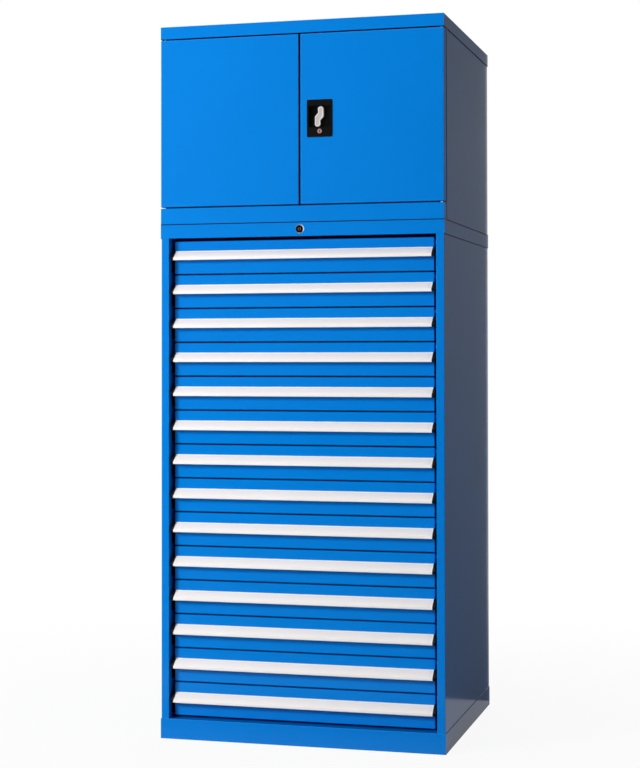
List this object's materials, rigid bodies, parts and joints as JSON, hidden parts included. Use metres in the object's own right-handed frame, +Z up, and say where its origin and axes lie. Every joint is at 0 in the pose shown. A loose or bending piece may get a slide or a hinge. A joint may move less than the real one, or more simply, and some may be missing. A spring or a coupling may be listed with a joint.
{
  "type": "drawer cabinet with cupboard",
  "caption": "Tall blue steel cabinet with shallow full-width drawers on telescopic runners, a central lock and a double-door cupboard on top with a turn-lever latch.",
  "frame": {"origin": "middle of the footprint, on the floor", "axes": "+X to the right as seen from the front, +Y to the back, +Z up; drawers open towards -Y"},
  "size_m": [0.8, 0.704, 1.97],
  "materials": {
    "blue_paint": "smooth semi-gloss powder coat",
    "handle_aluminium": "extruded, matt anodised, pale label strip",
    "zinc": "cold rolled, zinc plated",
    "nickel": "nickel plated",
    "black_plastic": "moulded, fine satin",
    "satin_die_cast": "die cast, satin chrome"
  },
  "bodies": {
    "cabinet": {"plinth": "blue_paint", "drawer_housing": "blue_paint", "top_cover": "blue_paint", "hinge_pins_and_lock_ring": "nickel", "cupboard_shell": "blue_paint", "cupboard_floor": "blue_paint", "cupboard_roof": "blue_paint", "cupboard_shelf": "blue_paint", "fixed_runners": "zinc"},
    "drawer_01": {"drawer_01_box": "blue_paint", "drawer_01_handle": "handle_aluminium"},
    "drawer_01_middle_runners": {"drawer_01_runners": "zinc"},
    "drawer_02": {"drawer_02_box": "blue_paint", "drawer_02_handle": "handle_aluminium"},
    "drawer_02_middle_runners": {"drawer_02_runners": "zinc"},
    "drawer_03": {"drawer_03_box": "blue_paint", "drawer_03_handle": "handle_aluminium"},
    "drawer_03_middle_runners": {"drawer_03_runners": "zinc"},
    "drawer_04": {"drawer_04_box": "blue_paint", "drawer_04_handle": "handle_aluminium"},
    "drawer_04_middle_runners": {"drawer_04_runners": "zinc"},
    "drawer_05": {"drawer_05_box": "blue_paint", "drawer_05_handle": "handle_aluminium"},
    "drawer_05_middle_runners": {"drawer_05_runners": "zinc"},
    "drawer_06": {"drawer_06_box": "blue_paint", "drawer_06_handle": "handle_aluminium"},
    "drawer_06_middle_runners": {"drawer_06_runners": "zinc"},
    "drawer_07": {"drawer_07_box": "blue_paint", "drawer_07_handle": "handle_aluminium"},
    "drawer_07_middle_runners": {"drawer_07_runners": "zinc"},
    "drawer_08": {"drawer_08_box": "blue_paint", "drawer_08_handle": "handle_aluminium"},
    "drawer_08_middle_runners": {"drawer_08_runners": "zinc"},
    "drawer_09": {"drawer_09_box": "blue_paint", "drawer_09_handle": "handle_aluminium"},
    "drawer_09_middle_runners": {"drawer_09_runners": "zinc"},
    "drawer_10": {"drawer_10_box": "blue_paint", "drawer_10_handle": "handle_aluminium"},
    "drawer_10_middle_runners": {"drawer_10_runners": "zinc"},
    "drawer_11": {"drawer_11_box": "blue_paint", "drawer_11_handle": "handle_aluminium"},
    "drawer_11_middle_runners": {"drawer_11_runners": "zinc"},
    "drawer_12": {"drawer_12_box": "blue_paint", "drawer_12_handle": "handle_aluminium"},
    "drawer_12_middle_runners": {"drawer_12_runners": "zinc"},
    "drawer_13": {"drawer_13_box": "blue_paint", "drawer_13_handle": "handle_aluminium"},
    "drawer_13_middle_runners": {"drawer_13_runners": "zinc"},
    "drawer_14": {"drawer_14_box": "blue_paint", "drawer_14_handle": "handle_aluminium"},
    "drawer_14_middle_runners": {"drawer_14_runners": "zinc"},
    "left_door_leaf": {"left_door": "blue_paint"},
    "right_door_leaf": {"right_door": "blue_paint", "handle_dish": "black_plastic"},
    "lever": {"turn_lever": "satin_die_cast"},
    "upper_rod": {"upper_lock_rod": "zinc"},
    "lower_rod": {"lower_lock_rod": "zinc"},
    "door_key": {"key_cylinder": "nickel"},
    "drawer_lock": {"central_lock": "nickel"},
    "locking_bar": {"lock_bar": "zinc"}
  },
  "joints": [
    {"name": "drawer_01_slide", "type": "slide", "parent": "cabinet", "child": "drawer_01", "axis": [0, -1, 0], "range_m": [0, 0.6]},
    {"name": "drawer_01_runner_slide", "type": "slide", "parent": "cabinet", "child": "drawer_01_middle_runners", "axis": [0, -1, 0], "range_m": [0, 0.3]},
    {"name": "drawer_02_slide", "type": "slide", "parent": "cabinet", "child": "drawer_02", "axis": [0, -1, 0], "range_m": [0, 0.6]},
    {"name": "drawer_02_runner_slide", "type": "slide", "parent": "cabinet", "child": "drawer_02_middle_runners", "axis": [0, -1, 0], "range_m": [0, 0.3]},
    {"name": "drawer_03_slide", "type": "slide", "parent": "cabinet", "child": "drawer_03", "axis": [0, -1, 0], "range_m": [0, 0.6]},
    {"name": "drawer_03_runner_slide", "type": "slide", "parent": "cabinet", "child": "drawer_03_middle_runners", "axis": [0, -1, 0], "range_m": [0, 0.3]},
    {"name": "drawer_04_slide", "type": "slide", "parent": "cabinet", "child": "drawer_04", "axis": [0, -1, 0], "range_m": [0, 0.6]},
    {"name": "drawer_04_runner_slide", "type": "slide", "parent": "cabinet", "child": "drawer_04_middle_runners", "axis": [0, -1, 0], "range_m": [0, 0.3]},
    {"name": "drawer_05_slide", "type": "slide", "parent": "cabinet", "child": "drawer_05", "axis": [0, -1, 0], "range_m": [0, 0.6]},
    {"name": "drawer_05_runner_slide", "type": "slide", "parent": "cabinet", "child": "drawer_05_middle_runners", "axis": [0, -1, 0], "range_m": [0, 0.3]},
    {"name": "drawer_06_slide", "type": "slide", "parent": "cabinet", "child": "drawer_06", "axis": [0, -1, 0], "range_m": [0, 0.6]},
    {"name": "drawer_06_runner_slide", "type": "slide", "parent": "cabinet", "child": "drawer_06_middle_runners", "axis": [0, -1, 0], "range_m": [0, 0.3]},
    {"name": "drawer_07_slide", "type": "slide", "parent": "cabinet", "child": "drawer_07", "axis": [0, -1, 0], "range_m": [0, 0.6]},
    {"name": "drawer_07_runner_slide", "type": "slide", "parent": "cabinet", "child": "drawer_07_middle_runners", "axis": [0, -1, 0], "range_m": [0, 0.3]},
    {"name": "drawer_08_slide", "type": "slide", "parent": "cabinet", "child": "drawer_08", "axis": [0, -1, 0], "range_m": [0, 0.6]},
    {"name": "drawer_08_runner_slide", "type": "slide", "parent": "cabinet", "child": "drawer_08_middle_runners", "axis": [0, -1, 0], "range_m": [0, 0.3]},
    {"name": "drawer_09_slide", "type": "slide", "parent": "cabinet", "child": "drawer_09", "axis": [0, -1, 0], "range_m": [0, 0.6]},
    {"name": "drawer_09_runner_slide", "type": "slide", "parent": "cabinet", "child": "drawer_09_middle_runners", "axis": [0, -1, 0], "range_m": [0, 0.3]},
    {"name": "drawer_10_slide", "type": "slide", "parent": "cabinet", "child": "drawer_10", "axis": [0, -1, 0], "range_m": [0, 0.6]},
    {"name": "drawer_10_runner_slide", "type": "slide", "parent": "cabinet", "child": "drawer_10_middle_runners", "axis": [0, -1, 0], "range_m": [0, 0.3]},
    {"name": "drawer_11_slide", "type": "slide", "parent": "cabinet", "child": "drawer_11", "axis": [0, -1, 0], "range_m": [0, 0.6]},
    {"name": "drawer_11_runner_slide", "type": "slide", "parent": "cabinet", "child": "drawer_11_middle_runners", "axis": [0, -1, 0], "range_m": [0, 0.3]},
    {"name": "drawer_12_slide", "type": "slide", "parent": "cabinet", "child": "drawer_12", "axis": [0, -1, 0], "range_m": [0, 0.6]},
    {"name": "drawer_12_runner_slide", "type": "slide", "parent": "cabinet", "child": "drawer_12_middle_runners", "axis": [0, -1, 0], "range_m": [0, 0.3]},
    {"name": "drawer_13_slide", "type": "slide", "parent": "cabinet", "child": "drawer_13", "axis": [0, -1, 0], "range_m": [0, 0.6]},
    {"name": "drawer_13_runner_slide", "type": "slide", "parent": "cabinet", "child": "drawer_13_middle_runners", "axis": [0, -1, 0], "range_m": [0, 0.3]},
    {"name": "drawer_14_slide", "type": "slide", "parent": "cabinet", "child": "drawer_14", "axis": [0, -1, 0], "range_m": [0, 0.6]},
    {"name": "drawer_14_runner_slide", "type": "slide", "parent": "cabinet", "child": "drawer_14_middle_runners", "axis": [0, -1, 0], "range_m": [0, 0.3]},
    {"name": "left_door_hinge", "type": "hinge", "parent": "cabinet", "child": "left_door_leaf", "pos_m": [-0.39, -0.34, 1.7], "axis": [0, 0, -1], "range_deg": [0, 110]},
    {"name": "right_door_hinge", "type": "hinge", "parent": "cabinet", "child": "right_door_leaf", "pos_m": [0.39, -0.34, 1.7], "axis": [0, 0, 1], "range_deg": [0, 110]},
    {"name": "lever_turn", "type": "hinge", "parent": "right_door_leaf", "child": "lever", "pos_m": [0.055, -0.34, 1.7055], "axis": [0, -1, 0], "range_deg": [0, 90]},
    {"name": "upper_rod_slide", "type": "slide", "parent": "right_door_leaf", "child": "upper_rod", "axis": [0, 0, 1], "range_m": [0, 0.015]},
    {"name": "lower_rod_slide", "type": "slide", "parent": "right_door_leaf", "child": "lower_rod", "axis": [0, 0, -1], "range_m": [0, 0.015]},
    {"name": "door_key_turn", "type": "hinge", "parent": "right_door_leaf", "child": "door_key", "pos_m": [0.057, -0.345, 1.6655], "axis": [0, -1, 0], "range_deg": [0, 90]},
    {"name": "drawer_lock_turn", "type": "hinge", "parent": "cabinet", "child": "drawer_lock", "pos_m": [0, -0.34, 1.401], "axis": [0, 1, 0], "range_deg": [0, 90]},
    {"name": "locking_bar_slide", "type": "slide", "parent": "cabinet", "child": "locking_bar", "axis": [0, 0, -1], "range_m": [0, 0.013]}
  ],
  "couplings": [
    {"joint": "drawer_01_runner_slide", "follows": "drawer_01_slide", "ratio": 0.5},
    {"joint": "drawer_02_runner_slide", "follows": "drawer_02_slide", "ratio": 0.5},
    {"joint": "drawer_03_runner_slide", "follows": "drawer_03_slide", "ratio": 0.5},
    {"joint": "drawer_04_runner_slide", "follows": "drawer_04_slide", "ratio": 0.5},
    {"joint": "drawer_05_runner_slide", "follows": "drawer_05_slide", "ratio": 0.5},
    {"joint": "drawer_06_runner_slide", "follows": "drawer_06_slide", "ratio": 0.5},
    {"joint": "drawer_07_runner_slide", "follows": "drawer_07_slide", "ratio": 0.5},
    {"joint": "drawer_08_runner_slide", "follows": "drawer_08_slide", "ratio": 0.5},
    {"joint": "drawer_09_runner_slide", "follows": "drawer_09_slide", "ratio": 0.5},
    {"joint": "drawer_10_runner_slide", "follows": "drawer_10_slide", "ratio": 0.5},
    {"joint": "drawer_11_runner_slide", "follows": "drawer_11_slide", "ratio": 0.5},
    {"joint": "drawer_12_runner_slide", "follows": "drawer_12_slide", "ratio": 0.5},
    {"joint": "drawer_13_runner_slide", "follows": "drawer_13_slide", "ratio": 0.5},
    {"joint": "drawer_14_runner_slide", "follows": "drawer_14_slide", "ratio": 0.5},
    {"joint": "lower_rod_slide", "follows": "upper_rod_slide", "ratio": 1},
    {"joint": "lever_turn", "follows": "upper_rod_slide", "rad_per_m": 104.72},
    {"joint": "drawer_lock_turn", "follows": "locking_bar_slide", "rad_per_m": 120.83}
  ]
}
